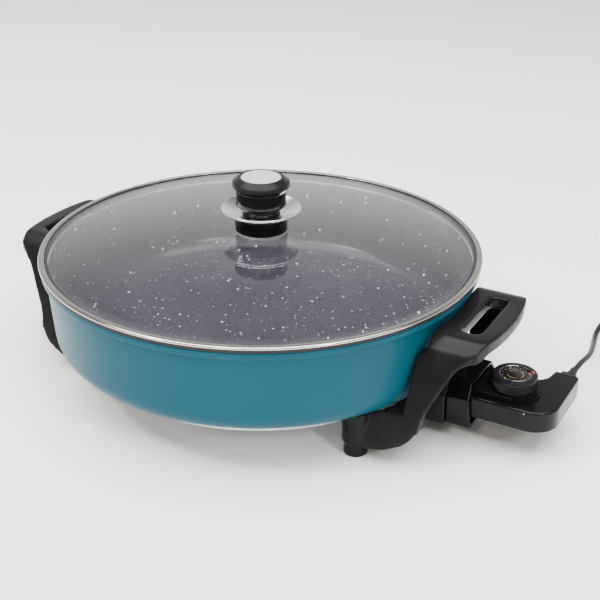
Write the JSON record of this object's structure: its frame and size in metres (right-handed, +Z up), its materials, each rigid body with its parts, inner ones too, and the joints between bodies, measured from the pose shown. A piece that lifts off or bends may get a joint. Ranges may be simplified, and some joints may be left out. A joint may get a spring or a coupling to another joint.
{
  "type": "electric skillet",
  "caption": "Round deep electric skillet on handle legs, with a domed glass lid and knob and a plug-in dial temperature control with its mains lead.",
  "frame": {"origin": "on the table, at the centre of the box round the pan, handles and control, without the lead", "axes": "+X out through the handle with the temperature control, +Y to the left of it, +Z up"},
  "size_m": [0.575, 0.481, 0.1914],
  "materials": {
    "teal_enamel": "satin",
    "bare_aluminium": "satin",
    "gloss_black": "gloss",
    "matte_black": "matte",
    "bright_chrome": "polished",
    "steel_parts": "brushed",
    "brass_parts": "satin",
    "ceramic": "matte",
    "grey_silicone": "matte",
    "black_rubber": "matte",
    "cord_rubber": "satin",
    "clear_glass": "gloss"
  },
  "bodies": {
    "base": {"pan_body": "teal_enamel", "heater_plate": "bare_aluminium", "heating_element": "steel_parts", "terminal_pins": "steel_parts", "pin_insulators": "ceramic", "handle_left": "gloss_black", "handle_right": "gloss_black", "feet": "matte_black", "handle_screws": "steel_parts", "socket_guard": "matte_black", "guard_screws": "steel_parts"},
    "lid": {"lid_glass": "clear_glass", "lid_rim_ring": "bright_chrome", "lid_rim_gasket": "black_rubber", "lid_lower_gasket": "grey_silicone", "lid_lower_washer": "steel_parts", "knob": "gloss_black", "knob_collar": "gloss_black", "knob_finger_guard": "bright_chrome", "knob_gasket": "grey_silicone", "knob_insert": "steel_parts", "knob_screw": "steel_parts"},
    "control": {"ceramic_spacers": "ceramic", "coil_tie": "black_rubber", "contact_sleeves": "brass_parts", "control_base_cover": "matte_black", "control_hood": "gloss_black", "control_housing": "gloss_black", "cover_screws": "steel_parts", "expansion_rod": "brass_parts", "lead_coil": "cord_rubber", "lead_wires": "cord_rubber", "mains_lead": "cord_rubber", "plug_blades": "brass_parts", "plug_body": "cord_rubber", "probe_tube": "steel_parts", "stack_bolt": "steel_parts", "strain_relief": "cord_rubber", "thermostat_blades": "brass_parts", "thermostat_bracket": "steel_parts"},
    "dial": {"dial": "gloss_black", "dial_trim_ring": "bright_chrome", "dial_scale_disc": "matte_black", "dial_shaft": "steel_parts"}
  },
  "joints": [
    {"name": "lid_lift", "type": "slide", "parent": "base", "child": "lid", "axis": [0, 0, 1], "range_m": [0, 0.15]},
    {"name": "control_unplug", "type": "slide", "parent": "base", "child": "control", "axis": [1, 0, 0], "range_m": [0, 0.1]},
    {"name": "dial_turn", "type": "hinge", "parent": "control", "child": "dial", "pos_m": [0.219, 0, 0.058], "axis": [0, 0, 1], "range_deg": [0, 300]}
  ]
}
